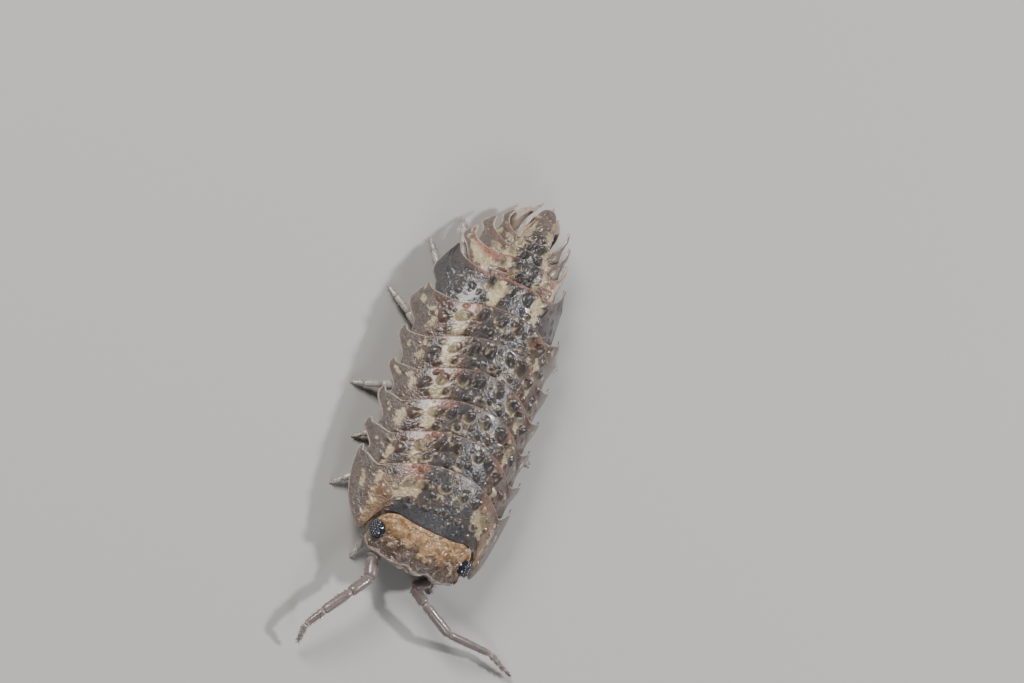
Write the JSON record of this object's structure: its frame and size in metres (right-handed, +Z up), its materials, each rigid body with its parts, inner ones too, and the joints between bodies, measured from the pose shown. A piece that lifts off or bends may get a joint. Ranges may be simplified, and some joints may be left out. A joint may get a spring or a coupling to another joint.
{
  "type": "woodlouse",
  "caption": "Life-size still woodlouse, standing, with overlapping leaf-edged back plates, knobbly shell, clustered eyes, jointed feelers and legs, and a short pointed tail.",
  "frame": {"origin": "middle of the model's box in plan, on the floor the feet stand on", "axes": "+Z up, -Y towards the head, +X towards the animal's left side"},
  "size_m": [0.008, 0.0156, 0.0028],
  "materials": {
    "back_shell": "wet-looking horn, grey-brown to slate, finely granular",
    "tail_shell": "wet-looking horn, salmon-orange and cream",
    "head_shell": "wet-looking horn, tan-orange, rugose",
    "eye": "glossy blue-black lenses",
    "feeler": "translucent pinkish brown",
    "uropod": "translucent pink-cream",
    "leg": "translucent whitish, bristly"
  },
  "bodies": {
    "root": {"antenna_left": "feeler", "antenna_right": "feeler", "eye_left": "eye", "eye_right": "eye", "head": "head_shell", "leg_left_1": "leg", "leg_left_2": "leg", "leg_left_3": "leg", "leg_left_4": "leg", "leg_left_5": "leg", "leg_left_6": "leg", "leg_left_7": "leg", "leg_right_1": "leg", "leg_right_2": "leg", "leg_right_3": "leg", "leg_right_4": "leg", "leg_right_5": "leg", "leg_right_6": "leg", "leg_right_7": "leg", "pereonite_1": "back_shell", "pereonite_2": "back_shell", "pereonite_3": "back_shell", "pereonite_4": "back_shell", "pereonite_5": "back_shell", "pereonite_6": "back_shell", "pereonite_7": "back_shell", "pleonite_1": "tail_shell", "pleonite_2": "tail_shell", "pleonite_3": "tail_shell", "pleonite_4": "tail_shell", "pleonite_5": "tail_shell", "pleotelson": "tail_shell", "uropod_left": "uropod", "uropod_right": "uropod"}
  },
  "joints": []
}
